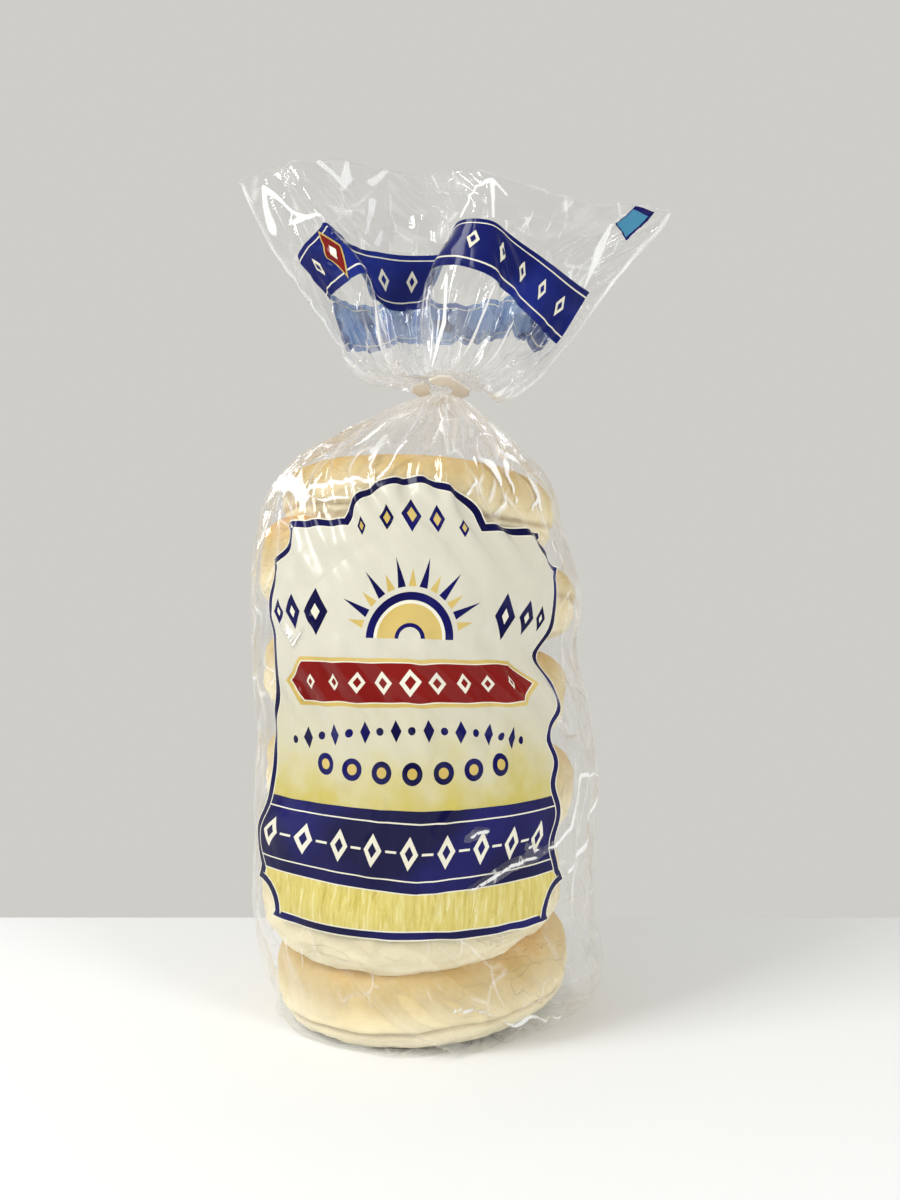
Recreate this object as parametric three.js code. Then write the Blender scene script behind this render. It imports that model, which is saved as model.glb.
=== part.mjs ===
// A clear film bag of six plain bagels, stacked flat and standing upright on its end. Its neck is
// gathered through a flat closure clip, and the spare film flares out above the clip as a ruffle.
// Millimetres, +Z up, front towards -Y, the origin under the middle of the whole bag.

import * as THREE from 'three';

// Driving dimensions
const bagelCount = 6;
const bagelHeight = 30.2; // one bagel as it lies in the stack
const bagelBulge = 1.4; // how far the film swells over each bagel
const stackHeight = bagelCount * bagelHeight;
const clipHeight = 212; // middle of the closure clip above the base
const clipSide = 17;
const clipThickness = 1;
const neckX = 4.8; // the neck leans this far right of the stack's axis
const neckRadius = 3.3; // gathered film inside the clip
const clipHoleRadius = neckRadius + 1.1;
const clipTurn = THREE.MathUtils.degToRad(38); // clip's corner faces the front
const clipTilt = THREE.MathUtils.degToRad(13); // front edge of the clip is lifted
const neckTop = clipHeight + 2.4; // the lifted edge of the clip stays below the ruffle
const ruffleWall = 1; // stands for the crumpled film's thickness
const partGap = 0.3;
const rimLeft = -69; // the two corners of the bag's open mouth
const rimRight = 91;
const bagCentreX = (rimLeft + rimRight) / 2;

const bodySegments = 40;
const ruffleSegments = 56;
const ringStep = 6;

// Sections of the filled bag: height, left and right limits from the stack's axis, half depth
const bodySections = [
  { z: 0, left: -36, right: 37, depth: 36 },
  { z: 3, left: -46, right: 51, depth: 45 },
  { z: 9, left: -53, right: 58, depth: 51 },
  { z: 18, left: -56, right: 57, depth: 53 },
  { z: 31, left: -58, right: 56, depth: 54.5 },
  { z: 60, left: -56, right: 57, depth: 55 },
  { z: 77, left: -57, right: 58, depth: 55.5 },
  { z: 100, left: -58, right: 56, depth: 55.5 },
  { z: 119, left: -60, right: 51, depth: 55 },
  { z: 138, left: -60, right: 54, depth: 55 },
  { z: 155, left: -59, right: 49, depth: 54 },
  { z: 168, left: -57, right: 44, depth: 52 },
  { z: 178, left: -53, right: 40, depth: 48 },
  { z: 186, left: -42, right: 34, depth: 38 },
  { z: 194, left: -30, right: 27, depth: 27 },
  { z: 202, left: -18, right: 18, depth: 15 },
  { z: 208, left: neckX - 6, right: neckX + 6, depth: 6 },
  { z: 210.5, left: neckX - neckRadius, right: neckX + neckRadius, depth: neckRadius },
];
const shoulderPleats = 10;
const shoulderPleatDepth = 0.06; // as a share of the section's reach

// The bag's open mouth above the clip, from the left corner along the front to the right corner
// and back behind: a deep fold dents the front between two flaps
const mouthRim = [
  [rimLeft, 0, 290],
  [-50, -15, 286],
  [-34, -24, 283],
  [-20, -9, 287],
  [-10, 1, 290],
  [3, -8, 286],
  [20, -27, 277],
  [48, -20, 275],
  [75, -9, 278],
  [rimRight, 0, 280],
  [66, 14, 281],
  [34, 22, 287],
  [-2, 24, 290],
  [-32, 23, 292],
  [-57, 12, 292],
];
const flareShare = 0.3; // first share of the way out, where the film spreads level
const flarePower = 1.2;

/** Adds a vertex for each point and returns the index of the first. */
function pushRing(positions, points) {
  const first = positions.length / 3;
  for (const p of points) positions.push(p.x, p.y, p.z);
  return first;
}

/** One closed body lofted through rings of equal point counts, with a fan over each end. */
function loftGeometry(rings) {
  const positions = [];
  const indices = [];
  const count = rings[0].length;
  const starts = rings.map((ring) => pushRing(positions, ring));
  for (let r = 0; r + 1 < rings.length; r++) {
    for (let i = 0; i < count; i++) {
      const j = (i + 1) % count;
      indices.push(starts[r] + i, starts[r] + j, starts[r + 1] + j);
      indices.push(starts[r] + i, starts[r + 1] + j, starts[r + 1] + i);
    }
  }
  const middleOf = (ring) =>
    ring.reduce((sum, p) => sum.add(p), new THREE.Vector3()).divideScalar(ring.length);
  const bottom = pushRing(positions, [middleOf(rings[0])]);
  const top = pushRing(positions, [middleOf(rings.at(-1))]);
  for (let i = 0; i < count; i++) {
    const j = (i + 1) % count;
    indices.push(bottom, starts[0] + j, starts[0] + i);
    indices.push(top, starts.at(-1) + i, starts.at(-1) + j);
  }
  const geometry = new THREE.BufferGeometry();
  geometry.setAttribute('position', new THREE.Float32BufferAttribute(positions, 3));
  geometry.setIndex(indices);
  geometry.computeVertexNormals();
  return geometry;
}

/** The filled bag: bagel bulges, sloping pleated shoulders and the neck through the clip. */
function filledBagGeometry() {
  const heights = bodySections.map((section) => section.z);
  const reaches = bodySections.flatMap(({ left, right, depth }) => [left, right, depth]);
  const sectionAt = new THREE.LinearInterpolant(heights, reaches, 3);

  const ringHeights = [0, 1.5, 3, 5.5];
  for (let z = 9; z < stackHeight; z += ringStep) ringHeights.push(z);
  ringHeights.push(182, 186, 190, 194, 198, 202, 205, 208, 210.5, neckTop);

  const rings = ringHeights.map((z) => {
    const [left, right, depth] = sectionAt.evaluate(Math.min(z, heights.at(-1)));
    const shoulder = THREE.MathUtils.smoothstep(z, 180, 190);
    const pleated = shoulder * (1 - THREE.MathUtils.smoothstep(z, 202, 208));
    const onStack = THREE.MathUtils.smoothstep(z, 0, 9) * (1 - shoulder);
    const swell = bagelBulge * onStack * Math.cos(2 * Math.PI * (z / bagelHeight - 0.5));
    const ring = [];
    for (let i = 0; i < bodySegments; i++) {
      const angle = (2 * Math.PI * i) / bodySegments;
      const pleat = 1 + shoulderPleatDepth * pleated * Math.cos(shoulderPleats * angle);
      const halfWidth = ((right - left) / 2 + swell) * pleat;
      const halfDepth = (depth + swell) * pleat;
      const x = (left + right) / 2 + halfWidth * Math.cos(angle);
      ring.push(new THREE.Vector3(x, halfDepth * Math.sin(angle), z));
    }
    return ring;
  });
  return loftGeometry(rings);
}

/** The open ruffle above the clip: an outer skin up to the rim and an inner skin back down. */
function ruffleGeometry() {
  const baseHeight = neckTop + partGap;
  const rimPoints = mouthRim.map(([x, y, z]) => new THREE.Vector3(x, y, z));
  const rim = new THREE.CatmullRomCurve3(rimPoints, true, 'centripetal');

  const ringAt = (share, inset) => {
    const rise = Math.max(0, (share - flareShare) / (1 - flareShare)) ** flarePower;
    const ring = [];
    for (let i = 0; i < ruffleSegments; i++) {
      const t = i / ruffleSegments;
      const angle = Math.PI * (1 + 2 * t);
      const mouth = rim.getPoint(t);
      const near = neckRadius - inset * 0.5;
      const x = THREE.MathUtils.lerp(near * Math.cos(angle), mouth.x - neckX, share);
      const y = THREE.MathUtils.lerp(near * Math.sin(angle), mouth.y, share);
      const inwards = 1 - (inset * (share > 0 ? 1 : 0)) / Math.max(Math.hypot(x, y), 4);
      const z = baseHeight + rise * (mouth.z - baseHeight);
      ring.push(new THREE.Vector3(neckX + x * inwards, y * inwards, z));
    }
    return ring;
  };

  const outerShares = [0, 0.15, 0.3, 0.4, 0.5, 0.6, 0.7, 0.8, 0.9, 1];
  const outer = outerShares.map((share) => ringAt(share, 0));
  const inner = outerShares
    .filter((share) => share >= 0.15)
    .reverse()
    .map((share) => {
      const ring = ringAt(share, ruffleWall);
      const lift = share === 1 ? 0 : ruffleWall;
      ring.forEach((point) => (point.z += lift));
      return ring;
    });
  return loftGeometry([...outer, ...inner]);
}

/** A flat square clip with cut corners, a round hole for the neck and a slot to slip it on. */
function clipGeometry() {
  const half = clipSide / 2;
  const cut = 2.5;
  const slotHalf = 1.3;
  const slotAngle = Math.asin(slotHalf / clipHoleRadius);
  const outline = new THREE.Shape();
  outline.moveTo(slotHalf, -half);
  outline.lineTo(half - cut, -half);
  outline.lineTo(half, -half + cut);
  outline.lineTo(half, half - cut);
  outline.lineTo(half - cut, half);
  outline.lineTo(-half + cut, half);
  outline.lineTo(-half, half - cut);
  outline.lineTo(-half, -half + cut);
  outline.lineTo(-half + cut, -half);
  outline.lineTo(-slotHalf, -half);
  outline.absarc(0, 0, clipHoleRadius, -Math.PI / 2 - slotAngle, -Math.PI / 2 + slotAngle, true);
  outline.closePath();
  const settings = { depth: clipThickness, bevelEnabled: false, curveSegments: 24 };
  const geometry = new THREE.ExtrudeGeometry(outline, settings);
  geometry.translate(0, 0, -clipThickness / 2);
  return geometry;
}

const clearFilm = new THREE.MeshStandardMaterial({
  color: 0xe6e4df,
  roughness: 0.12,
  metalness: 0,
  transparent: true,
  opacity: 0.35,
});
const filledFilm = new THREE.MeshStandardMaterial({
  color: 0xead9a8,
  roughness: 0.25,
  metalness: 0,
});
const frostedPlastic = new THREE.MeshStandardMaterial({
  color: 0xddd3bd,
  roughness: 0.4,
  metalness: 0,
});

const filledBag = new THREE.Mesh(filledBagGeometry(), filledFilm);
filledBag.name = 'filled_bag';

const ruffle = new THREE.Mesh(ruffleGeometry(), clearFilm);
ruffle.name = 'gathered_ruffle';

const clip = new THREE.Mesh(clipGeometry(), frostedPlastic);
clip.name = 'closure_clip';
clip.position.set(neckX, 0, clipHeight);
clip.rotation.set(-clipTilt, 0, -clipTurn, 'XYZ');

const bag = new THREE.Group();
bag.add(filledBag, ruffle, clip);
bag.position.x = -bagCentreX;

export default bag;
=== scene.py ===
"""A clear film bag of six plain bagels, standing upright: bagels, film, print, ruffle and clip."""

import math

import bpy
import numpy as np
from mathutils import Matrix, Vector, geometry


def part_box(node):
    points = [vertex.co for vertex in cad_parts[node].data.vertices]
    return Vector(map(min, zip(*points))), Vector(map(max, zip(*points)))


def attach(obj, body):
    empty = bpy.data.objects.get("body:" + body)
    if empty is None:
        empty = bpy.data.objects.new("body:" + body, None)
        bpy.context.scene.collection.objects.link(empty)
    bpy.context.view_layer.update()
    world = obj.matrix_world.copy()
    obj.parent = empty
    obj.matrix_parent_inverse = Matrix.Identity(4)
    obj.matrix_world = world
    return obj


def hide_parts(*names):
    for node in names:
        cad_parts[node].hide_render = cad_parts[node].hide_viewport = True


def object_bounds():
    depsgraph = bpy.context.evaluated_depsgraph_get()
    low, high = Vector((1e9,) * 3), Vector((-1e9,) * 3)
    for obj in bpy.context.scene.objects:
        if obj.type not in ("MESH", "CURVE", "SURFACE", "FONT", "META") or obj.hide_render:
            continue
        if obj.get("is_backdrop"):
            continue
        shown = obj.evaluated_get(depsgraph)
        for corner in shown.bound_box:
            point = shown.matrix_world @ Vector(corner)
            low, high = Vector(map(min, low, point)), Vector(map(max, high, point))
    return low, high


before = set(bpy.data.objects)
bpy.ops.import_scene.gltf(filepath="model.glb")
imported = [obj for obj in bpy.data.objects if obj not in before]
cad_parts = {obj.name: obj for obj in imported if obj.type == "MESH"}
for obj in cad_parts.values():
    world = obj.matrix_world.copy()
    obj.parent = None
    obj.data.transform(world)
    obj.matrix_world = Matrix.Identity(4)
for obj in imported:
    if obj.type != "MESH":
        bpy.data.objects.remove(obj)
cad_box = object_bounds()

# Everything below is worked out in millimetres from the bagel stack's axis, z = 0 on the table.
MM = 0.001
NECK_X = 4.8  # the gathered neck leans this far right of the stack's axis
CLIP_LOW, CLIP_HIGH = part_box("closure_clip")
STACK_X = (CLIP_LOW[0] + CLIP_HIGH[0]) / 2 / MM - NECK_X  # the stack's axis in the frame
NECK_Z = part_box("gathered_ruffle")[0][2] / MM
NECK_RADIUS = 3.2
NECK_GAP = 0.2  # from the frame's neck up to where the ruffle begins
TABLE_GAP, BAGEL_GAP = 0.25, 0.4  # how close film comes to the table and to a bagel
FILM_ROUND = 370.0  # length of film round the bag
FLAT_UNIT = 100.0  # places on flat film and print are kept in tenths of a metre
TAU = 2 * math.pi


# ---------------------------------------------------------------- small helpers
def metres(points):
    """Points in millimetres from the stack's axis, as metres in the frame."""
    out = np.array(points, float) * MM
    out[..., 0] += STACK_X * MM
    return out


def smoothstep(low, high, value):
    t = np.clip((np.asarray(value, float) - low) / (high - low), 0, 1)
    return t * t * (3 - 2 * t)


def between(value, start, full, fading, end):
    """1 from full to fading, easing off to 0 at start and at end."""
    return smoothstep(start, full, value) * smoothstep(end, fading, value)


def bell(value, middle, reach):
    """1 at the middle, falling off smoothly to both sides."""
    return np.exp(-((value - middle) / reach) ** 2)


def unit(vectors):
    return vectors / (np.linalg.norm(vectors, axis=-1, keepdims=True) + 1e-12)


def softened(values, reach, ends):
    """Values averaged over a few neighbours; their ends "wrap" round or repeat the "edge"."""
    kernel = np.hanning(2 * reach + 3)[1:-1]
    return np.convolve(np.pad(values, reach, mode=ends), kernel / kernel.sum(), "valid")


def lattice_noise(rows, columns, cells_v, cells_u, rng):
    """Smooth noise from -1 to 1 on a sheet whose columns run round and close on themselves."""
    grid = rng.uniform(-1, 1, (cells_v + 3, cells_u))
    v = np.linspace(0, cells_v, rows)[:, None]
    u = (np.arange(columns) / columns * cells_u)[None, :]
    v0, u0 = np.floor(v).astype(int), np.floor(u).astype(int)
    fv, fu = smoothstep(0, 1, v - v0), smoothstep(0, 1, u - u0)
    u1 = (u0 + 1) % cells_u
    low = grid[v0, u0 % cells_u] * (1 - fu) + grid[v0, u1] * fu
    high = grid[v0 + 1, u0 % cells_u] * (1 - fu) + grid[v0 + 1, u1] * fu
    return low * (1 - fv) + high * fv


def resampled(grid, rows, columns):
    """A closed sheet at another resolution, by straight interpolation."""
    v = np.linspace(0, grid.shape[0] - 1, rows)
    u = np.arange(columns) / columns * grid.shape[1]
    return sample(grid, v[:, None], u[None, :])


def sample(grid, v, u):
    """Values of a closed sheet at row v and column u, which may be fractions."""
    v = np.clip(v, 0, grid.shape[0] - 1.001)
    v0, u0 = np.floor(v).astype(int), np.floor(u).astype(int)
    fv, fu = (v - v0)[..., None], (u - u0)[..., None]
    u1 = (u0 + 1) % grid.shape[1]
    u0 = u0 % grid.shape[1]
    low = grid[v0, u0] * (1 - fu) + grid[v0, u1] * fu
    high = grid[v0 + 1, u0] * (1 - fu) + grid[v0 + 1, u1] * fu
    return low * (1 - fv) + high * fv


def sheet_normals(grid):
    """Outward normals of a closed sheet whose columns run anticlockwise seen from above."""
    along_u = np.roll(grid, -1, 1) - np.roll(grid, 1, 1)
    along_v = np.gradient(grid, axis=0)
    return unit(np.cross(along_u, along_v))


def on_sheet(film, turns, shares, lift):
    """Points laid on a closed sheet at shares of the way round and of the way up."""
    turns, shares = np.broadcast_arrays(turns, shares)
    row, column = shares * (film.shape[0] - 1), turns * film.shape[1]
    return sample(film, row, column) + lift * unit(sample(sheet_normals(film), row, column))


def grid_faces(rows, columns, closed=True):
    """Four-cornered faces of a sheet, which may close round its columns."""
    j, i = np.meshgrid(np.arange(rows - 1), np.arange(columns if closed else columns - 1),
                       indexing="ij")
    k = (i + 1) % columns
    quads = np.stack([j * columns + i, j * columns + k, (j + 1) * columns + k,
                      (j + 1) * columns + i], -1)
    return quads.reshape(-1, 4)


def new_piece(name, points, faces, materials):
    """A smooth mesh object from points in millimetres; it rides on the one body."""
    mesh = bpy.data.meshes.new(name)
    mesh.from_pydata(metres(points).tolist(), [], faces.tolist())
    mesh.validate()
    mesh.shade_smooth()
    for material in materials:
        mesh.materials.append(material)
    piece = bpy.data.objects.new(name, mesh)
    bpy.context.scene.collection.objects.link(piece)
    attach(piece, "root")
    return piece


def put_uv(piece, name, places):
    """Gives each corner of a piece's faces its flat place in millimetres."""
    layer = piece.data.uv_layers.new(name=name)
    layer.data.foreach_set("uv", (places / FLAT_UNIT).astype(np.float32).ravel())


def put_value(piece, name, values):
    """A number for each point of a piece, which its material reads."""
    layer = piece.data.attributes.new(name, "FLOAT", "POINT")
    layer.data.foreach_set("value", np.asarray(values, np.float32).ravel())


def print_piece(name, points, faces, flat, inks, face_inks):
    """A printed piece: each point has a place on the flat print, and each face one ink."""
    piece = new_piece(name, points, faces, inks.values())
    names = list(inks)
    index = np.array([names.index(ink) for ink in face_inks], np.int32)
    piece.data.polygons.foreach_set("material_index", index)
    put_uv(piece, "print", flat[faces.ravel()])


# ---------------------------------------------------------------- camera
# The photograph's frame is 900 by 1200; its camera stands close, a little below mid height.
FRAME_HEIGHT = 1200
FOCAL_PIXELS = 900.0
SENSOR = 36.0  # fits the frame's longer side, its height
CAMERA_DISTANCE = 318.0
CAMERA_X, CAMERA_Z = 8.0, 119.0
CAMERA_PITCH = math.radians(3.2)
CAMERA_NEAREST = 10.0


def make_camera():
    data = bpy.data.cameras.new("camera")
    data.sensor_width = SENSOR
    data.lens = FOCAL_PIXELS / FRAME_HEIGHT * SENSOR
    data.clip_start = CAMERA_NEAREST * MM
    camera = bpy.data.objects.new("camera", data)
    camera.location = metres([CAMERA_X, -CAMERA_DISTANCE, CAMERA_Z])
    camera.rotation_euler = (math.radians(90) + CAMERA_PITCH, 0, 0)
    bpy.context.scene.collection.objects.link(camera)
    bpy.context.scene.camera = camera


# ---------------------------------------------------------------- bagels
class Bagel:
    """One bagel of the stack: middle, size, lean to the right and nod to the front in degrees,
    how high its slice lies as a share of its half height, its share of flour, how far its
    underside droops at the front left and how far its upper edge rises at the left."""

    rounding = 12.5  # of its waist
    tilt_room = 10.0  # a leaning bagel stands this far past its half height

    def __init__(self, x, y, z, radius, half_height, lean, nod, slice_level, flour, droop=0,
                 rise=0):
        self.centre = np.array([x, y, z])
        self.radius = radius
        self.half_height = half_height
        self.slice_level = slice_level
        self.flour = flour
        self.droop = droop
        self.rise = rise
        lean, nod = math.radians(lean), math.radians(nod)
        self.side = np.array([math.cos(lean), 0.0, -math.sin(lean)])
        self.axis = np.array([math.sin(lean) * math.cos(nod), -math.sin(nod),
                              math.cos(lean) * math.cos(nod)])
        self.depth = np.cross(self.axis, self.side)

    def push_out(self, points, clearance):
        """Moves points that are inside the bagel's outline out to its surface."""
        near = np.abs(points[..., 2] - self.centre[2]) < self.half_height + self.tilt_room
        found = points[near]
        offset = found - self.centre
        height = offset @ self.axis
        flat = offset - height[:, None] * self.axis
        reach = np.linalg.norm(flat, axis=1) + 1e-9
        edge = min(self.rounding, self.half_height - 1)
        out_r = reach - (self.radius - edge)
        out_z = np.abs(height) - (self.half_height - edge)
        corner = np.hypot(np.maximum(out_r, 0), np.maximum(out_z, 0))
        depth = corner + np.minimum(np.maximum(out_r, out_z), 0) - edge
        inside = depth < clearance
        share = np.maximum(corner, 1e-6)
        way_r = np.where(corner > 1e-6, np.maximum(out_r, 0) / share, out_r >= out_z)
        way_z = np.where(corner > 1e-6, np.maximum(out_z, 0) / share, out_z > out_r)
        way = (way_r / reach)[:, None] * flat + (way_z * np.sign(height))[:, None] * self.axis
        found[inside] += (clearance - depth[inside])[:, None] * way[inside]
        points[near] = found


BAGELS = [
    Bagel(-1.5, 0.0, 15.0, 49.5, 14.0, -3.2, 3.5, -0.42, 0.04),
    Bagel(-5.0, -2.5, 44.5, 51.0, 15.5, -0.5, 8.5, 0.0, 0.5, 3.0),
    Bagel(-2.3, 0.0, 76.5, 53.0, 15.7, 5.0, 4.5, 0.1, 0.2),
    Bagel(-4.0, -0.5, 108.8, 52.0, 16.0, 6.3, 2.0, 0.0, 0.1),
    Bagel(-3.5, 0.5, 140.5, 55.0, 14.5, 6.5, 0.5, 0.1, 0.1, rise=6.5),
    Bagel(-3.0, -1.5, 167.5, 47.5, 14.0, 3.5, 0.0, -0.4, 0.0),
]


# ---------------------------------------------------------------- film that keeps its length
def pairs_of(rows, columns):
    """Neighbouring points along, up and across a closed sheet, in sets that share no point."""
    j, i = np.arange(rows), np.arange(columns)
    pairs = []
    for start in (0, 1):
        one = i[start::2]
        pairs.append(("u", (slice(None), one), (slice(None), (one + 1) % columns)))
        row = j[start:rows - 1:2]
        pairs.append(("v", (row,), (row + 1,)))
        low, high = row[:, None], row[:, None] + 1
        here, there = i[None, :], (i[None, :] + 1) % columns
        pairs.append(("d", (low, here), (high, there)))
        pairs.append(("d", (low, there), (high, here)))
    return pairs


def around(grid):
    """Each point's neighbours less the point itself, as a measure of curvature."""
    out = np.roll(grid, 1, 1) + np.roll(grid, -1, 1) - 2 * grid
    out[1:-1] += grid[2:] + grid[:-2] - 2 * grid[1:-1]
    return out


def relax(grid, length_u, length_v, hold, squash, bend, steps, fixed, solids=()):
    """Lets a sheet of film crumple, in place, until it has its own length everywhere.

    squash is how strongly film that is too short for its place pushes back, hold how strongly
    each point is drawn to where it began."""
    shape = grid.shape[:2]
    length_u, length_v = np.broadcast_to(length_u, shape), np.broadcast_to(length_v, shape)
    lengths = {"u": length_u, "v": length_v, "d": np.hypot(length_u, length_v)}
    squash, hold = np.broadcast_to(squash, shape), np.broadcast_to(hold, shape)[..., None]
    links = [(a, b, lengths[kind][a], squash[a]) for kind, a, b in pairs_of(*shape)]
    start = grid.copy()
    for _ in range(steps):
        for a, b, length, push in links:
            along = grid[b] - grid[a]
            now = np.sqrt((along * along).sum(-1)) + 1e-9
            excess = (now - length) / now
            move = (0.5 * np.where(excess > 0, 1.0, push) * excess)[..., None] * along
            grid[a] += move
            grid[b] -= move
        grid -= bend * around(around(grid))
        grid += hold * (start - grid)
        for solid in solids:
            solid.push_out(grid, BAGEL_GAP)
        grid[..., 2] = np.maximum(grid[..., 2], TABLE_GAP)
        grid[fixed] = start[fixed]


# ---------------------------------------------------------------- film round the bagels
BODY_COLUMNS, BODY_ROWS = 320, 250
LOOSE_FOLD_ANGLE = math.radians(209)  # a loose fold of film stands out here, at the front left
LOOSE_FOLD = 4.5
PLEAT_DEPTH = 3.6  # of the shoulder
SIDE_SWELL = 0.012  # the pressed sides stand out by this share of the half width
SIDE_FOLD_TURNS = (0.262, 0.738)  # where the bag's side folds run, as shares of the way round
BODY_SPARE = 1.004  # the film is this much longer than its way over the sections
BODY_BEND = 0.012  # how strongly the film resists a sharp bend
# height, left and right limits, half depth; under the base, up the wall, over the shoulder
BODY_SECTIONS = np.array([
    [0.7, -3, 3, 3], [0.4, -38, 43, 34], [3, -46.5, 56, 41], [9, -52, 59.5, 48],
    [18, -55, 57.5, 51.5], [31, -57.5, 55.5, 53.5], [60, -55.5, 56.5, 54.5],
    [77, -56.5, 57.5, 55], [100, -57.5, 55.5, 55], [119, -59.5, 50.5, 55],
    [138, -59.5, 53.5, 55.5], [155, -58.5, 48.5, 54], [168, -56.5, 43.5, 51.5],
    [178, -53, 39.5, 47.5], [186, -42, 33.5, 38], [194, -30, 26.5, 27], [202, -18, 17.5, 15.5],
    [208, NECK_X - 6, NECK_X + 6, 6], [211, NECK_X - 3.4, NECK_X + 3.4, 3.4],
    [214.6, NECK_X - NECK_RADIUS, NECK_X + NECK_RADIUS, NECK_RADIUS]])


def body_angles(columns):
    """Where each column stands round the bag; the first is at the back."""
    return math.pi / 2 + TAU * np.arange(columns) / columns


def ridges(rows, columns, cells_v, cells_u, rng):
    """Sharp irregular folds, running mostly up the sheet."""
    return 0.4 - np.abs(lattice_noise(rows, columns, cells_v, cells_u, rng))


def label_zone(z, angle):
    """How far a place lies within the flat printed front, from 0 to 1."""
    front = smoothstep(1.2, 0.75, np.abs(angle - 1.5 * math.pi))
    return front * smoothstep(30, 44, z) * smoothstep(188, 178, z)


def body_path():
    """How far along the film each section lies, from the middle of the base."""
    middle = (BODY_SECTIONS[:, 2] - BODY_SECTIONS[:, 1]) / 2
    steps = np.hypot(np.diff(BODY_SECTIONS[:, 0]), np.diff(middle))
    return np.concatenate([[0], np.cumsum(steps)])


def body_start(rows, columns, rng):
    """The filled bag's film before it crumples, as rows from the base to the neck."""
    path = body_path()
    along = np.linspace(0, path[-1], rows)
    z, left, right, depth = [
        softened(np.interp(along, path, c), max(1, rows // 60), "edge") for c in BODY_SECTIONS.T]
    angle = body_angles(columns)
    half_width = ((right - left) / 2)[:, None]
    half_depth = depth[:, None]
    middle = ((left + right) / 2)[:, None]
    z = z[:, None]
    printed = label_zone(z, angle)
    shoulder = between(z, 172, 194, 206, 212)
    waves = ridges(rows, columns, 7, 38, rng) + 0.6 * ridges(rows, columns, 9, 74, rng)
    pleat = np.minimum(PLEAT_DEPTH, 0.3 * half_depth) * shoulder * waves * (1 - 0.9 * printed)
    rough = 0.5 * lattice_noise(rows, columns, 40, 54, rng)
    rough += 0.25 * lattice_noise(rows, columns, 90, 120, rng)
    rough = rough * (1 - 0.7 * np.maximum(printed, shoulder))
    fold = LOOSE_FOLD * between(z, 22, 48, 66, 96) * bell(angle, LOOSE_FOLD_ANGLE, 0.3)
    swell = pleat + rough * smoothstep(6, 32, z) * smoothstep(211, 200, z) + fold
    side = 1 + SIDE_SWELL * (smoothstep(0, 20, z) * (1 - shoulder)) * np.cos(angle) ** 24
    x = middle + (half_width * side + swell) * np.cos(angle)
    y = (half_depth + swell) * np.sin(angle)
    return np.stack([x, y, np.broadcast_to(z, x.shape)], -1)


def body_film():
    """The film round the bagels, crumpled at two resolutions."""
    rng = np.random.default_rng(11)
    path_length = body_path()[-1]
    grid = body_start(BODY_ROWS // 2, BODY_COLUMNS // 2, rng)
    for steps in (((160, 60))):
        rows, columns = grid.shape[:2]
        z = grid[:, :1, 2]
        gathered = smoothstep(176, 196, z)
        hold = 0.003 + 0.03 * gathered + 0.035 * label_zone(z, body_angles(columns))
        squash = 0.6 * (1 - gathered) + 0.04
        fixed = np.zeros((rows, columns), bool)
        fixed[: rows // 18] = fixed[-rows // 40:] = True
        if steps:
            relax(grid, FILM_ROUND / columns, path_length * BODY_SPARE / (rows - 1), hold, squash,
                  BODY_BEND, steps, fixed, BAGELS)
        if rows < BODY_ROWS:
            grid = resampled(grid, BODY_ROWS, BODY_COLUMNS)
    return raised(grid, LABEL_CREASES, CREASE_RISE)


# ---------------------------------------------------------------- ruffle above the clip
RUFFLE_COLUMNS, RUFFLE_ROWS = 384, 150
SIDE_FOLD_REACH, SIDE_FOLD_RISE = 0.004, 1.8  # the ruffle's pressed side folds
LEFT_BULGE = 2.4  # how far the left side bows out below its tip
RIM_WAVE, RIM_CURL, RIM_TURN = 1.7, 0.9, 0.25  # how the rim waves up and down and curls out
# The line along the cut rim is a painted highlight
RIM_GLINT = 0.7  # how strongly the cut rim shows as an edge
CLIP_DROOP = 8  # how far film past the clip may hang below its foot
RUFFLE_SQUASH, RUFFLE_BEND = 0.5, 0.004  # how it pushes back and resists a bend
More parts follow.
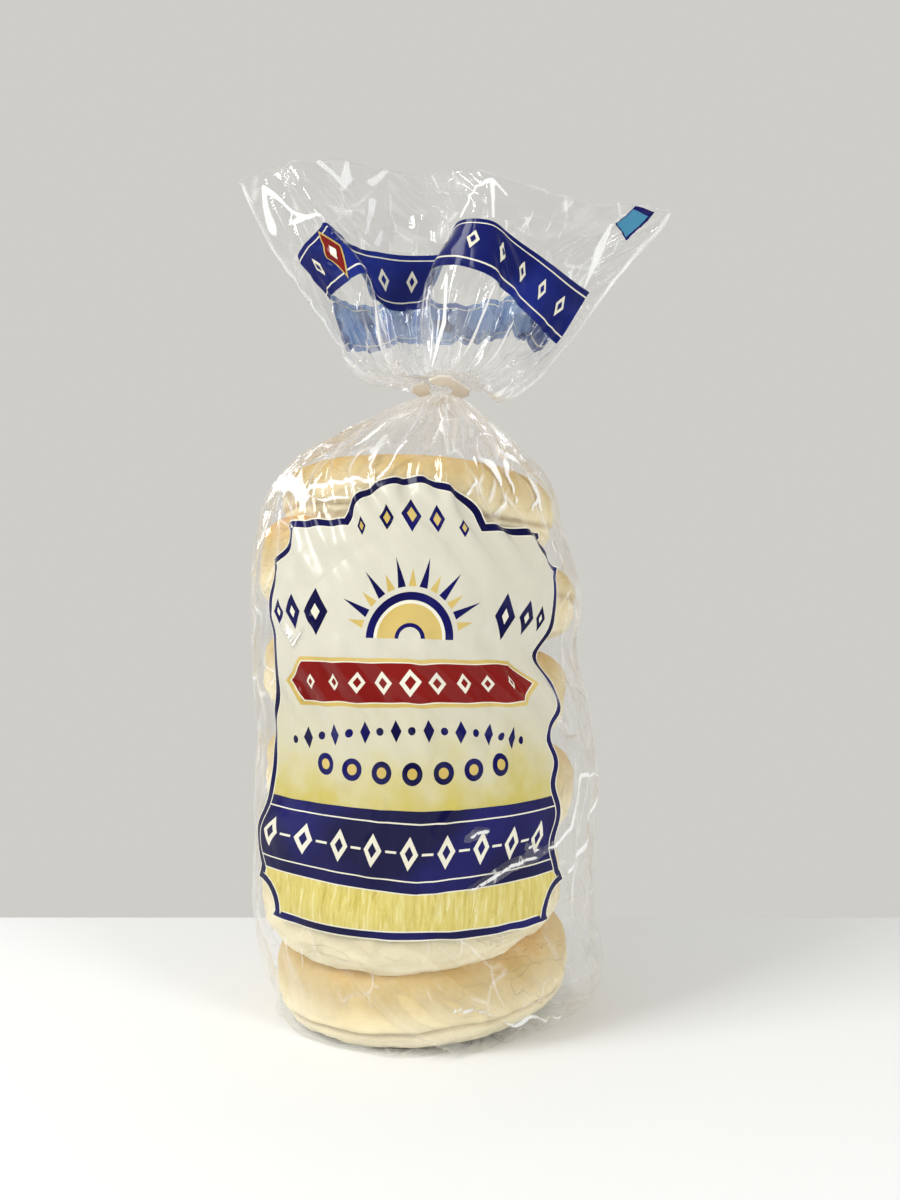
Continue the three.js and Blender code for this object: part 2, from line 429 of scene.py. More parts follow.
# How the film runs up from the neck at places round it, from the left corner along the front to
# the right corner and back behind: share of the way round, then the foot of the flare, the lower
# and upper edge of the printed band, and the rim of the mouth. The front folds in between a flap
# on the left and one on the right.
RIBS = [
    (0.000, (-24, 0, 217.5), (-31, 0, 229.5), (-44.5, 0, 249), (-70, 0, 290)),
    (0.045, (-21, -7, 217), (-35, -10, 242), (-46, -10, 257.5), (-53, -14, 286)),
    (0.120, (-14, -13, 218), (-20.5, -25, 245.5), (-33.5, -25, 262.5), (-46, -24, 283)),
    (0.170, (-11, -6, 217), (-19, 0, 243), (-25, -3, 262.5), (-29, -20, 285)),
    (0.205, (-6, -6, 217), (-10, 4, 242), (-12.5, 5, 264), (-14, -5, 290.5)),
    (0.245, (-1, -6, 217), (0, 2, 241.5), (4.5, 3, 262), (-4, -5, 290)),
    (0.285, (2, -12, 216.5), (2, -16, 250), (10.5, -22, 264), (6, -18, 284)),
    (0.305, (5, -14, 216), (9.5, -24, 248.5), (15.5, -27, 262), (12, -24, 281)),
    (0.330, (9, -15, 216), (20, -27, 244), (22, -28, 261), (20, -28, 277)),
    (0.390, (17, -10, 216), (32, -17, 235.5), (38.5, -18, 253.5), (48, -20, 275)),
    (0.460, (23, -9, 209.5), (44.5, -4, 228.5), (56, -5, 246), (75, -9, 278)),
    (0.500, (26, -3, 207.5), (47, 0, 226.5), (62, 0, 246), (91, 0, 280)),
    (0.570, (20, 8, 216.5), (37.5, 10, 236), (44.5, 12, 250), (66, 14, 281)),
    (0.680, (12, 12, 217), (19, 12, 234.5), (21, 16, 252), (34, 21, 287)),
    (0.800, (2, 12, 217), (-3, 12, 233), (-5, 16, 251.5), (-2, 23, 290)),
    (0.900, (-10, 10, 217), (-23.5, 10, 232), (-29, 13, 250), (-28, 23, 291.5)),
    (0.960, (-20, 5, 217), (-31, 5, 231), (-40, 6, 250), (-52, 16, 291.5)),
]
FOOT, BAND_LOW, BAND_HIGH = 0.22, 0.45, 0.65  # shares of the way up where the ribs' places lie


def ruffle_levels(columns):
    """The foot, band and rim lines of the ruffle, each as points round the sheet."""
    turn = np.arange(columns) / columns
    knots = [rib[0] for rib in RIBS] + [1.0]
    lines = []
    for level in range(1, 5):
        places = np.array([rib[level] for rib in RIBS + RIBS[:1]], float)
        lines.append(np.stack([
            softened(np.interp(turn, knots, c), max(1, columns // 90), "wrap")
            for c in places.T], -1))
    return lines


def curved_through(lines, knots, share):
    """Rows of points on smooth curves through lines of points; the outer lines only steer them."""
    rows = []
    for at in share:
        k = int(np.clip(np.searchsorted(knots, at, "right") - 1, 1, len(knots) - 3))
        p0, p1, p2, p3 = lines[k - 1:k + 3]
        span = knots[k + 1] - knots[k]
        t = (at - knots[k]) / span
        slope1 = (p2 - p0) / (knots[k + 1] - knots[k - 1]) * span
        slope2 = (p3 - p1) / (knots[k + 2] - knots[k]) * span
        rows.append((2 * t ** 3 - 3 * t ** 2 + 1) * p1 + (t ** 3 - 2 * t ** 2 + t) * slope1
                    + (3 * t ** 2 - 2 * t ** 3) * p2 + (t ** 3 - t ** 2) * slope2)
    return np.array(rows)


def ruffle_start(rows, columns, rng):
    """The ruffle before it crumples, as rows from the neck to the rim of the mouth."""
    turn = np.arange(columns) / columns
    angle = math.pi * (1 + 2 * turn)
    neck = np.stack([NECK_X + NECK_RADIUS * np.cos(angle), NECK_RADIUS * np.sin(angle),
                     np.full(columns, NECK_Z + NECK_GAP)], -1)
    lines = [neck] + ruffle_levels(columns)
    lines = [2 * lines[0] - lines[1]] + lines + [2 * lines[-1] - lines[-2]]
    knots = [-FOOT, 0, FOOT, BAND_LOW, BAND_HIGH, 1, 2 - BAND_HIGH]
    share = np.linspace(0, 1, rows)
    grid = curved_through(lines, knots, share)
    share = share[:, None]
    waves = ridges(rows, columns, 3, 44, rng) + 0.7 * ridges(rows, columns, 4, 80, rng)
    pleat = 5.0 * smoothstep(0.03, 0.16, share) * smoothstep(0.6, 0.3, share) * waves
    back = smoothstep(0.5, 0.56, turn) * smoothstep(1.0, 0.94, turn)
    pleat = pleat + 4.0 * back * smoothstep(0.3, 0.45, share) * smoothstep(0.8, 0.6, share) * waves
    crumple = 1.3 * ridges(rows, columns, 5, 19, rng) + 0.3 * ridges(rows, columns, 11, 40, rng)
    push = pleat + crumple * smoothstep(0.05, 0.3, share) * smoothstep(1.05, 0.8, share)
    from_left = np.minimum(turn, 1 - turn)
    side_folds = bell(from_left, 0, SIDE_FOLD_REACH) + bell(turn, 0.5, SIDE_FOLD_REACH)
    push = push + SIDE_FOLD_RISE * side_folds * smoothstep(0.12, 0.3, share)
    grid += push[..., None] * sheet_normals(grid)
    bulge = bell(from_left, 0, 0.03) * np.sin(math.pi * smoothstep(0.6, 1, share))
    grid[..., 0] -= LEFT_BULGE * bulge
    wavy = lattice_noise(1, columns, 1, 29, rng) + 0.5 * lattice_noise(1, columns, 1, 61, rng)
    grid[..., 2] += RIM_WAVE * wavy * smoothstep(0.75, 1, share)
    return above_clip(grid)


def above_clip(grid):
    """Keeps the ruffle over the clip, though it may droop beyond the clip's edge."""
    reach = np.hypot(grid[..., 0] - NECK_X, grid[..., 1])
    lowest = NECK_Z + NECK_GAP - CLIP_DROOP * smoothstep(14, 20, reach)
    grid[..., 2] = np.maximum(grid[..., 2], lowest)
    return grid


def ruffle_film():
    """The ruffle's film, crumpled at two resolutions, its rim curled a little outwards."""
    rng = np.random.default_rng(5)
    grid = ruffle_start(RUFFLE_ROWS // 2, RUFFLE_COLUMNS // 2, rng)
    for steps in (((90, 40))):
        rows, columns = grid.shape[:2]
        upward = np.linalg.norm(np.diff(grid, axis=0), axis=-1)
        length_v = np.concatenate([upward, upward[-1:]])
        length_u = np.linalg.norm(np.roll(grid, -1, 1) - grid, axis=-1)
        fixed = np.zeros((rows, columns), bool)
        fixed[:2] = True
        if steps:
            share = np.linspace(0, 1, rows)[:, None]
            spare = 1.003 + 0.03 * smoothstep(0.5, 0.25, share)
            hold = 0.02 + 0.06 * smoothstep(0.35, 0.5, share)
            relax(grid, spare * length_u, spare * length_v, hold, RUFFLE_SQUASH, RUFFLE_BEND, steps,
                  fixed)
            above_clip(grid)
        if rows < RUFFLE_ROWS:
            grid = resampled(grid, RUFFLE_ROWS, RUFFLE_COLUMNS)
    normals = sheet_normals(grid)
    grid[-1] += RIM_CURL * normals[-1] - RIM_TURN * unit(grid[-1] - grid[-3])
    grid[-2] += RIM_TURN * normals[-2]
    return grid


# ---------------------------------------------------------------- printed label
# The label's own flat measures: across from its middle line, and up from its lower corners
LABEL_FOOT_Z = 38.1  # height of the lower corners on the filled bag
LABEL_SHOULDER = 120.0
DOME_HALF_WIDTH, DOME_RISE = 23.5, 13.5
SHOULDER_HALF_WIDTH, FOOT_HALF_WIDTH = 49.0, 47.0
SIDE_HALF_WIDTH, TIP_HALF_WIDTH = 52.8, 55.3
UPPER_TIP, LOWER_TIP = 108.8, 10.0
BORDER_WIDTH = 2.1
EDGE_LINE = 0.4  # thin pale line along both sides of the border
BAND_FOOT, BAND_TOP = 14.2, 36.6
BEYOND = 60  # the fields of colour run past the label's sides and foot
ARTWORK_X = -1.0  # middle line of the artwork
PRINT_LIFT = 0.3
LABEL_MESH_STEP, OUTLINE_STEP = 1.1, 1.2
# Radius, number of points and ink of the sun's half discs, the largest first
SUN_DISCS = [(13.6, 33, "navy"), (11.2, 31, "pale"), (10.2, 29, "gold"), (4.6, 19, "navy"),
             (3.4, 17, "cream")]
# Loose film swells or tucks the label's edges in at some heights: height, how far, over what reach
RIGHT_TUCKS = [(80, 8, 6.5), (54, 6.5, 6), (40, 5, 7), (22, 4, 7)]
LEFT_TUCKS = [(97, 4.5, 9), (56, 2.5, 7), (23, 7, 8)]


def arc(centre, radius, start, end, count):
    """Points along an arc, from one angle to the other in degrees; radius may be (across, up)."""
    turn = np.radians(np.linspace(start, end, count))
    return np.array(centre) + np.array(radius) * np.stack([np.cos(turn), np.sin(turn)], -1)


def label_outline():
    """The label's outer outline: domed top, hollowed corners with small points, straight foot."""
    dome = arc((0, LABEL_SHOULDER), (DOME_HALF_WIDTH, DOME_RISE), 90, 8, 18)
    notch = TIP_HALF_WIDTH - SHOULDER_HALF_WIDTH + 2
    upper = arc((TIP_HALF_WIDTH, UPPER_TIP + notch), notch, 180, 270, 8)
    lower = arc((TIP_HALF_WIDTH, LOWER_TIP - notch), notch, 90, 180, 8)
    half = np.concatenate([
        dome, [[DOME_HALF_WIDTH + 0.6, LABEL_SHOULDER], [SHOULDER_HALF_WIDTH, LABEL_SHOULDER],
               [SHOULDER_HALF_WIDTH, LABEL_SHOULDER - 1.6]], upper,
        [[SIDE_HALF_WIDTH, UPPER_TIP - 4], [SIDE_HALF_WIDTH, LOWER_TIP + 4]], lower,
        [[FOOT_HALF_WIDTH + 1.4, 0]]])
    mirror = half[::-1] * [-1, 1]
    return np.concatenate([half, mirror[:-1]])


def inset(outline, distance):
    """An outline drawn in by a distance, or out by a negative one; it runs clockwise."""
    ahead = unit(np.roll(outline, -1, 0) - outline)
    right_of = np.stack([ahead[:, 1], -ahead[:, 0]], -1)
    inward = unit(right_of + np.roll(right_of, 1, 0))
    facing = (inward * right_of).sum(-1, keepdims=True)
    return outline + inward * distance / np.maximum(facing, 0.45)


def lozenge(x, y, width, height):
    return np.array([[x, y + height / 2], [x + width / 2, y], [x, y - height / 2],
                     [x - width / 2, y]])


def disc(x, y, radius, count):
    return arc((x, y), radius, 0, 360, count + 1)[:-1]


def box(left, low, right, high):
    return np.array([[left, low], [left, high], [right, high], [right, low]], float)


def strip(low, high, ink):
    """A field of colour across the whole label."""
    return box(-BEYOND, low, BEYOND, high), ink


def bent_row(half_count, spacing, level, bend=0.0, size=1.0, taper=0.0):
    """Marks in a row about the artwork's middle line, each as across, up and size. The row may
    bend up or down towards its ends, and its marks may grow smaller."""
    return [(ARTWORK_X + spacing * k, level + bend * k * k, size - taper * abs(k))
            for k in range(-half_count, half_count + 1)]


def lozenges(marks, *layers):
    """A lozenge for each mark and layer. A layer is a width and a height for size 1, and an ink."""
    return [(lozenge(x, y, size * width, size * height), ink)
            for x, y, size in marks for width, height, ink in layers]


def sunburst(y):
    """A half sun: a gold disc, a dark ring and rays of two lengths."""
    shapes = []
    middle = np.array([ARTWORK_X, y])
    ray_foot, ray_half_width, long_ray, short_ray = 15.2, 1.25, 24.5, 20.5
    for k in range(13):
        way = math.radians(90 + (k - 6) * 12.5)
        along = np.array([math.cos(way), math.sin(way)])
        side = np.array([-along[1], along[0]])
        ray = [middle + along * ray_foot + side * ray_half_width,
               middle + along * (long_ray if k % 2 else short_ray),
               middle + along * ray_foot - side * ray_half_width]
        shapes.append((np.array(ray), "navy" if k % 2 else "gold"))
    return shapes + [(arc(middle, radius, 180, 0, count), ink) for radius, count, ink in SUN_DISCS]


def ribbon(y, width, height):
    """A red panel with pointed ends, a gold edge and a row of pale lozenges."""
    x = ARTWORK_X
    shapes = []
    for shrink, ink in ((0, "gold"), (1.1, "pale"), (1.45, "red")):
        half, up = width / 2 - 1.6 * shrink, height / 2 - shrink
        shapes.append((np.array([
            [x - half, y], [x - half + up, y + up], [x + half - up, y + up],
            [x + half, y], [x + half - up, y - up], [x - half + up, y - up]]), ink))
    marks = bent_row(4, 8.3, y, size=6.4, taper=0.7)
    return shapes + lozenges(marks, (1, 1.25, "pale"), (0.5, 0.62, "red"))


def label_shapes():
    """Everything painted inside the border, in painting order, as (outline, ink)."""
    shapes = [strip(-5, BAND_FOOT - 0.35, "wheat"), strip(BAND_FOOT - 0.35, BAND_FOOT, "pale"),
              strip(BAND_FOOT, BAND_TOP, "navy")]
    dome_row = bent_row(2, 8.4, 121.5, -0.9, size=8.4, taper=2.0)
    shapes += lozenges(dome_row, (0.8, 1.3, "navy"), (0.4, 0.65, "gold"))
    shapes += sunburst(84.5) + ribbon(71.5, 90, 14.5)
    for side in (-1, 1):
        across = 31.0
        for size in (9.4, 7.2, 5.4):
            mark = (ARTWORK_X + side * across, 92.0, size)
            shapes += lozenges([mark], (0.85, 1.5, "navy"), (0.3, 0.52, "pale"))
            across += size * 0.92
    for k, (x, y, _) in enumerate(bent_row(8, 4.9, 57.6, -0.055)):
        shapes.append((lozenge(x, y, 3.4, 6.4) if k % 2 else disc(x, y, 1.15, 16), "navy"))
    for x, y, _ in bent_row(3, 9.4, 46.0, 0.2):
        shapes += [(disc(x, y, 3.1, 32), "navy"), (disc(x, y, 1.5, 22), "gold")]
    shapes += [strip(level, level + 0.4, "pale") for level in (17.4, 33.2)]
    for k in range(-4, 5):
        x = ARTWORK_X + 11.2 * k
        shapes += lozenges([(x, 25.4, 1)], (5.6, 9.6, "pale"), (2.6, 4.4, "navy"))
        if k < 4:
            shapes.append((box(x + 3.9, 25.05, x + 7.3, 25.75), "pale"))
    return shapes


def inside(points, outline):
    """Which points lie within a closed outline."""
    found = np.zeros(len(points), bool)
    low, high = outline.min(0), outline.max(0)
    near = np.flatnonzero(((points > low) & (points < high)).all(1))
    x, y = points[near, 0:1], points[near, 1:2]
    a, b = outline, np.roll(outline, -1, 0)
    spans = (a[:, 1] > y) != (b[:, 1] > y)
    rise = b[:, 1] - a[:, 1]
    cross = a[:, 0] + (y - a[:, 1]) * (b[:, 0] - a[:, 0]) / np.where(rise == 0, 1, rise)
    found[near] = (spans & (x < cross)).sum(1) % 2 == 1
    return found


def divided(outline, step):
    """A closed outline with a point at least every step."""
    fine = []
    for p, q in zip(outline, np.roll(outline, -1, 0)):
        count = max(1, int(np.ceil(np.linalg.norm(q - p) / step)))
        fine.append(p + (q - p) * np.linspace(0, 1, count, endpoint=False)[:, None])
    return np.concatenate(fine)


def meshed(outline, inner_outlines):
    """A flat outline filled with triangles whose edges follow the outlines inside it."""
    low, high = outline.min(0), outline.max(0)
    x, y = np.meshgrid(np.arange(low[0], high[0], LABEL_MESH_STEP),
                       np.arange(low[1], high[1], LABEL_MESH_STEP))
    lattice = np.stack([x.ravel(), y.ravel()], -1)
    points, lines = [lattice[inside(lattice, outline)]], []
    count = len(points[0])
    for line in [outline] + inner_outlines:
        fine = divided(line, OUTLINE_STEP)
        at = count + np.arange(len(fine))
        points.append(fine)
        lines.append(np.stack([at, np.roll(at, -1)], -1))
        count += len(fine)
    flat, _, faces, _, _, _ = geometry.delaunay_2d_cdt(
        [Vector(p) for p in np.concatenate(points).tolist()], np.concatenate(lines).tolist(),
        [], 0, 1e-5)
    flat, faces = np.array([tuple(p) for p in flat]), np.array([tuple(f) for f in faces])
    return flat, faces[inside(flat[faces].mean(1), outline)]


def label_on_film(flat):
    """Where a flat point of the label lies on the film, as shares of the way round and up."""
    a, b = flat[:, 0], flat[:, 1]
    shift = -5 + 0.068 * b  # the print stands a little turned
    for tucks, near, far in ((RIGHT_TUCKS, 15, 52), (LEFT_TUCKS, -20, -52)):
        for height, depth, reach in tucks:
            shift = shift - depth * smoothstep(near, far, a) * bell(b, height, reach)
    tilt = -0.028 * a * smoothstep(50, 100, b)
    sag = -1.9 * (1 - (a / 50) ** 2) * smoothstep(62, 30, b)
    sag = sag - 1.6 * np.exp(-np.abs(a - 2) / 14) * smoothstep(44, 26, b) * smoothstep(2, 12, b)
    path = body_path()
    foot = np.interp(LABEL_FOOT_Z, BODY_SECTIONS[1:, 0], path[1:])
    return 0.5 + (a + shift) / FILM_ROUND, (foot + b + tilt + sag) / path[-1]


def make_label(film, inks):
    outer = label_outline()
    edge = inset(outer, -EDGE_LINE)
    border = inset(outer, BORDER_WIDTH)
    field = inset(outer, BORDER_WIDTH + EDGE_LINE)
    shapes = label_shapes()
    flat, faces = meshed(edge, [outer, border, field] + [outline for outline, _ in shapes])
    middle = flat[faces].mean(1)
    face_inks = np.full(len(faces), "cream", object)
    for outline, ink in shapes:
        face_inks[inside(middle, outline)] = ink
    for outline, ink in ((field, "pale"), (border, "navy"), (outer, "pale")):
        face_inks[~inside(middle, outline)] = ink
    points = on_sheet(film, *label_on_film(flat), PRINT_LIFT)
    print_piece("label_print", points, faces, flat, inks, face_inks)


# ---------------------------------------------------------------- sharp folds of the film
# Painted highlights: white streaks along folds, standing in for folds that catch the light. The
# places along each, as share of the way round, share of the way up and half width in millimetres
BODY_GLINTS = [
    [(0.302, 0.780, 1.0), (0.345, 0.777, 3.6), (0.384, 0.766, 2.2)],
    [(0.378, 0.786, 1.0), (0.388, 0.759, 2.0), (0.396, 0.735, 0.6)],
    [(0.388, 0.759, 1.2), (0.430, 0.765, 0.7), (0.472, 0.767, 0.6)],
    [(0.622, 0.373, 0.6), (0.650, 0.390, 0.7), (0.669, 0.442, 0.7), (0.728, 0.434, 0.5)],
    [(0.647, 0.341, 0.5), (0.678, 0.361, 0.9), (0.731, 0.414, 0.5)],
    [(0.588, 0.838, 0.6), (0.596, 0.800, 1.7), (0.603, 0.768, 0.6)],
    [(0.622, 0.900, 0.6), (0.640, 0.830, 0.8), (0.655, 0.770, 1.3), (0.662, 0.745, 0.5)],
    [(0.459, 0.850, 0.6), (0.462, 0.815, 1.1), (0.470, 0.790, 0.5)],
    [(0.541, 0.885, 0.8), (0.543, 0.850, 1.2), (0.549, 0.820, 0.5)],
    [(0.330, 0.900, 0.5), (0.352, 0.850, 0.9), (0.365, 0.800, 0.5)],
    [(0.519, 0.209, 0.5), (0.570, 0.190, 0.8), (0.625, 0.185, 0.5)],
    [(0.328, 0.815, 0.5), (0.341, 0.795, 0.7), (0.388, 0.751, 0.5)],
    [(0.392, 0.751, 0.6), (0.428, 0.747, 0.5), (0.447, 0.748, 0.4)],
    [(0.440, 0.773, 0.4), (0.466, 0.747, 0.4)],
    [(0.478, 0.767, 0.4), (0.490, 0.790, 0.6), (0.500, 0.815, 0.4)],
    [(0.538, 0.940, 0.5), (0.546, 0.895, 0.7), (0.530, 0.847, 0.4)],
    [(0.616, 0.860, 0.5), (0.634, 0.827, 1.2), (0.615, 0.780, 0.8), (0.622, 0.751, 0.4)],
    [(0.656, 0.850, 0.4), (0.668, 0.815, 0.6), (0.690, 0.800, 0.5)],
    [(0.653, 0.771, 0.4), (0.657, 0.757, 0.8), (0.640, 0.743, 0.4)],
    [(0.578, 0.800, 0.4), (0.576, 0.767, 0.5), (0.562, 0.751, 0.4)],
    [(0.381, 0.860, 0.4), (0.366, 0.835, 0.7), (0.345, 0.822, 0.4)],
    [(0.425, 0.880, 0.4), (0.408, 0.840, 0.6), (0.398, 0.815, 0.4)],
    [(0.459, 0.811, 0.4), (0.469, 0.775, 0.6)],
]
# Creases of the printed front, raised in the film itself
LABEL_CREASES = [
    [(0.509, 0.325, 1.2), (0.509, 0.353, 2.4), (0.510, 0.395, 1.2)],
    [(0.512, 0.402, 0.8), (0.528, 0.424, 1.2)],
    [(0.431, 0.450, 2.0), (0.438, 0.510, 4.0), (0.438, 0.590, 2.0)],
    [(0.512, 0.600, 1.5), (0.503, 0.534, 3.5), (0.503, 0.460, 1.5)],
    [(0.359, 0.622, 1.4), (0.391, 0.590, 2.0), (0.409, 0.618, 1.2)],
    [(0.394, 0.690, 1.2), (0.372, 0.635, 2.2)],
    [(0.581, 0.594, 1.5), (0.578, 0.530, 3.5), (0.566, 0.460, 1.5)],
    [(0.644, 0.707, 1.2), (0.609, 0.635, 2.2)],
    [(0.391, 0.540, 1.5), (0.381, 0.430, 3.0)],
    [(0.466, 0.430, 1.2), (0.456, 0.361, 2.4)],
]
CREASE_RISE = 0.8
# Sharp folds of clear film that stand proud of the print; the film is raised along each, and a
# white streak is painted on it as a highlight
PROUD_FOLDS = [
    [(0.538, 0.339, 0.3), (0.556, 0.349, 0.5), (0.575, 0.361, 0.55), (0.603, 0.367, 0.4)],
    [(0.592, 0.378, 0.4), (0.608, 0.370, 0.35), (0.622, 0.375, 0.35), (0.645, 0.388, 0.4)],
    [(0.536, 0.391, 0.3), (0.545, 0.397, 0.5), (0.553, 0.398, 0.3)],
    [(0.372, 0.612, 0.3), (0.391, 0.590, 0.4), (0.402, 0.604, 0.3)],
]
PROUD_RISE, PROUD_WIDTH = 0.8, 3.0  # rise, and how much wider the whole fold is than its mark
# Painted highlights along folds of the ruffle, given the same way
RUFFLE_GLINTS = [
    [(0.026, 0.946, 0.8), (0.020, 0.880, 1.5), (0.018, 0.825, 2.6)],
    [(0.026, 0.946, 1.0), (0.060, 0.820, 0.8), (0.094, 0.725, 1.0), (0.120, 0.691, 0.6)],
    [(0.052, 0.775, 0.5), (0.070, 0.755, 1.3), (0.094, 0.730, 0.8)],
    [(0.146, 0.987, 1.0), (0.164, 0.906, 0.8)],
    [(0.172, 0.993, 0.6), (0.170, 0.930, 1.6), (0.164, 0.879, 0.7)],
    [(0.203, 0.995, 0.8), (0.190, 0.933, 1.3)],
    [(0.190, 0.859, 1.3), (0.180, 0.718, 0.5)],
    [(0.195, 0.738, 0.5), (0.190, 0.685, 1.2)],
    [(0.333, 0.960, 0.8), (0.311, 0.830, 0.5), (0.292, 0.671, 0.6)],
    [(0.333, 0.960, 0.7), (0.331, 0.678, 0.6)],
    [(0.333, 0.960, 0.9), (0.345, 0.870, 0.5)],
    [(0.122, 0.690, 0.6), (0.125, 0.450, 0.7), (0.140, 0.200, 0.6)],
    [(0.445, 0.899, 0.5), (0.448, 0.790, 1.9), (0.456, 0.644, 0.4)],
    [(0.477, 0.195, 2.0), (0.470, 0.300, 0.5)],
    [(0.482, 0.180, 1.2), (0.440, 0.220, 0.5)],
    [(0.300, 0.420, 0.6), (0.303, 0.330, 1.3), (0.290, 0.230, 0.6)],
    [(0.345, 0.440, 0.5), (0.352, 0.300, 1.1), (0.340, 0.200, 0.5)],
    [(0.392, 0.400, 0.5), (0.400, 0.300, 1.4), (0.395, 0.230, 0.5)],
]
GATHER_MILK, NECK_MILK = 0.4, 0.9  # how milky gathered film turns, round the neck and at it


def fold_marks(grid, folds, height, widen=1.0):
    """How near each point of a sheet lies to a sharp fold: 1 on it, 0.5 at its side."""
    rows, columns = grid.shape[:2]
    turn = (np.arange(columns) / columns)[None, :]
    share = np.linspace(0, 1, rows)[:, None]
    marks = np.zeros((rows, columns))
    for fold in folds:
        for (turn_a, share_a, half_a), (turn_b, share_b, half_b) in zip(fold, fold[1:]):
            across, up = (turn_b - turn_a) * FILM_ROUND, (share_b - share_a) * height
            x, y = (turn - turn_a) * FILM_ROUND, (share - share_a) * height
            along = np.clip((x * across + y * up) / (across ** 2 + up ** 2), 0, 1)
            away = np.hypot(x - along * across, y - along * up)
            half = widen * (half_a + along * (half_b - half_a))
            marks = np.maximum(marks, 1 - 0.5 * away / half)
    return marks


def raised(film, folds, rise, widen=1.0):
    """The filled bag's film with some folds standing out of it."""
    marks = fold_marks(film, folds, body_path()[-1], widen)
    return film + rise * marks[..., None] * sheet_normals(film)


def film_piece(name, grid, material, edge, folds):
    """A closed sheet as a piece, with its flat place, how gathered it is, and where its edges and
    folds carry painted highlights.
    """
    rows, columns = grid.shape[:2]
    faces = grid_faces(rows, columns)
    piece = new_piece(name, grid.reshape(-1, 3), faces, [material])
    along = np.linalg.norm(np.diff(grid, axis=0), axis=-1).mean(1)
    height = np.concatenate([[0], np.cumsum(along)])
    round_place = np.arange(columns) / columns * FILM_ROUND
    flat = np.stack(np.broadcast_arrays(round_place, height[:, None]), -1)
    corner = faces.ravel()
    places = flat.reshape(-1, 2)[corner]
    last_column = np.repeat(faces[:, 0] % columns == columns - 1, 4)
    places[last_column & (corner % columns == 0), 0] += FILM_ROUND
    put_uv(piece, "film", places)
    z = grid[..., 2]
    reach = np.hypot(grid[..., 0] - NECK_X, grid[..., 1]) + 0.6 * np.abs(z - NECK_Z)
    milk = GATHER_MILK * smoothstep(45, 3, reach) + NECK_MILK * smoothstep(17, 5, reach)
    milk = milk * (1 - 0.9 * bell(z, NECK_Z - 3.5, 3.2))  # the clip shows through
    put_value(piece, "gather", milk)
    # Where painted highlight lines run along cut and pressed edges
    put_value(piece, "edge", edge)
    # Where painted highlight streaks run along the listed folds
    put_value(piece, "fold", fold_marks(grid, folds, height[-1]))
    return piece


def body_edge_glints():
    """The filled bag's two side folds show as thin painted highlight lines."""
    edge = np.zeros((BODY_ROWS, BODY_COLUMNS))
    shown = between(np.linspace(0, 1, BODY_ROWS), 0.25, 0.32, 0.74, 0.8)
    for turn in SIDE_FOLD_TURNS:
        edge[:, round(turn * BODY_COLUMNS)] = shown
    return edge


def ruffle_edge_glints():
    """Where the ruffle has a pressed or cut edge: its rim and its two side folds, along which
    painted highlight lines run.
    """
    edge = np.zeros((RUFFLE_ROWS, RUFFLE_COLUMNS))
    half_way = RUFFLE_COLUMNS // 2
    sides = [-1, 0, 1, half_way - 1, half_way, half_way + 1]
    edge[:, sides] = smoothstep(0.1, 0.3, np.linspace(0, 1, RUFFLE_ROWS))[:, None]
    edge[-1] = RIM_GLINT
    return edge


# ---------------------------------------------------------------- print on the ruffle
# The stripe runs along the front and behind it, as shares of the way round
FRONT_RUN, BACK_RUN = (0.045, 0.468), (0.54, 0.945)
STRIPE_ROWS = 30
PALE_LINES = [(0.115, 0.14), (0.88, 0.905)]  # two thin lines, as shares of the stripe's height
# The stripe behind zigzags with its film: how far, as a share of the way up, and in how many folds
BACK_ZIGZAG, ZIGZAG_PLACES = 0.026, 38
# Where lozenges stand on the stripe, as shares of the way round; each is built up in layers: half
# width as a share of the way round, lift as a multiple of the print's own, and ink
BAND_LOZENGES = np.arange(0.066, 0.45, 0.031)
LOZENGE_LAYERS = [(0.0058, 1.5, "pale"), (0.0026, 2.0, "deep")]
RED_LOZENGE = 0.098
RED_LOZENGE_ROOM = 0.026  # no small lozenge stands nearer
RED_LOZENGE_LAYERS = [(0.0140, 1.5, "gold"), (0.0118, 2.0, "red"), (0.0045, 2.5, "pale")]
LOZENGE_RISE = 7.0  # its share of the way up for each share of the way round
# The light blue patch near the right end of the mouth: its corners, as shares round and up
PATCH_CORNERS = [(0.448, 0.905), (0.470, 0.855), (0.482, 0.985), (0.461, 0.988)]


def ruffle_band(film, run, ground, lift, zigzag=0.0):
    """One run of the printed stripe: points, faces and the ink of each face."""
    turns = np.arange(*run, 1 / RUFFLE_COLUMNS)
    lines = {edge for line in PALE_LINES for edge in line}
    rows = np.array(sorted(lines | set(np.linspace(0, 1, STRIPE_ROWS))))
    rng = np.random.default_rng(21)
    knots = np.linspace(0, 1, ZIGZAG_PLACES) + rng.uniform(-0.009, 0.009, ZIGZAG_PLACES)
    folds = np.interp(turns, knots, rng.uniform(-1, 1, ZIGZAG_PLACES))
    shares = BAND_LOW + rows[:, None] * (BAND_HIGH - BAND_LOW) + zigzag * folds
    points = on_sheet(film, turns, shares, lift)
    inks = []
    for middle in (rows[:-1] + rows[1:]) / 2:
        on_line = any(low <= middle < high for low, high in PALE_LINES)
        inks += ["pale" if on_line else ground] * (len(turns) - 1)
    return points.reshape(-1, 3), grid_faces(len(rows), len(turns), False), inks


def laid_quad(film, corners, lift, count, ink_at):
    """A four-cornered patch of print, its corners at shares round and up: points, faces, inks."""
    step = np.linspace(0, 1, count + 1)
    u, v = step[None, :, None], step[:, None, None]
    a, b, c, d = np.array(corners, float)
    places = (a * (1 - u) + b * u) * (1 - v) + (d * (1 - u) + c * u) * v
    points = on_sheet(film, places[..., 0], places[..., 1], lift)
    middle = (step[1:] + step[:-1]) / 2
    inks = [ink_at(x, y) for y in middle for x in middle]
    return points.reshape(-1, 3), grid_faces(count + 1, count + 1, False), inks


